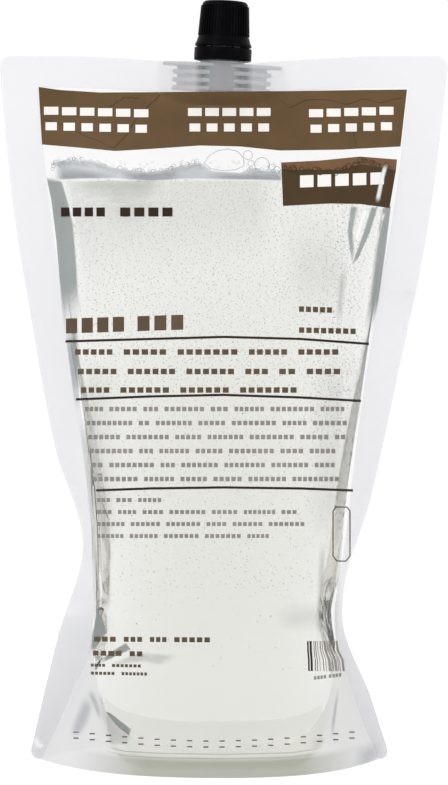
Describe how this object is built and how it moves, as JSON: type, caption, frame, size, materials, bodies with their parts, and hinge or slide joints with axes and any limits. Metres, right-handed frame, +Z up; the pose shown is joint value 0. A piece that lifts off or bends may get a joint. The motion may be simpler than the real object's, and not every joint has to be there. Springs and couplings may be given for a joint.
{
  "type": "hand soap refill pack",
  "caption": "Clear film stand-up refill pack of liquid hand soap, with wide sealed sides, a folded base, a moulded spout in the top seal and a ribbed black screw cap.",
  "frame": {"origin": "middle of the base, on the surface the pack stands on", "axes": "+Z up through the spout, +X to the right across the printed front, +Y to the back; the front wall faces -Y"},
  "size_m": [0.1694, 0.0752, 0.2892],
  "materials": {
    "clear_film": "clear glossy laminate, milky where it is heat-sealed, printed in brown on the front",
    "soap": "clear liquid with a faint green tint and fine suspended bubbles",
    "foam": "thin clear bubble walls",
    "spout_plastic": "natural translucent polyethylene, as moulded",
    "cap_plastic": "black polyethylene, as moulded, half glossy",
    "liner_foam": "white foamed polyethylene"
  },
  "bodies": {
    "pack": {"front_film": "clear_film", "back_film": "clear_film", "base_film": "clear_film", "soap": "soap", "foam": "foam", "spout": "spout_plastic", "tamper_band": "cap_plastic"},
    "cap_seal": {"cap_liner": "liner_foam"},
    "cap": {"cap": "cap_plastic"}
  },
  "joints": [
    {"name": "cap_lift", "type": "slide", "parent": "pack", "child": "cap_seal", "axis": [0.048, 0, 0.9988], "range_m": [0, 0.00602]},
    {"name": "cap_turn", "type": "hinge", "parent": "cap_seal", "child": "cap", "pos_m": [-0.0005, 0, 0.2654], "axis": [0.048, 0, 0.9988], "range_deg": [0, 720]}
  ],
  "couplings": [
    {"joint": "cap_lift", "follows": "cap_turn", "m_per_rad": 0.00047746}
  ]
}
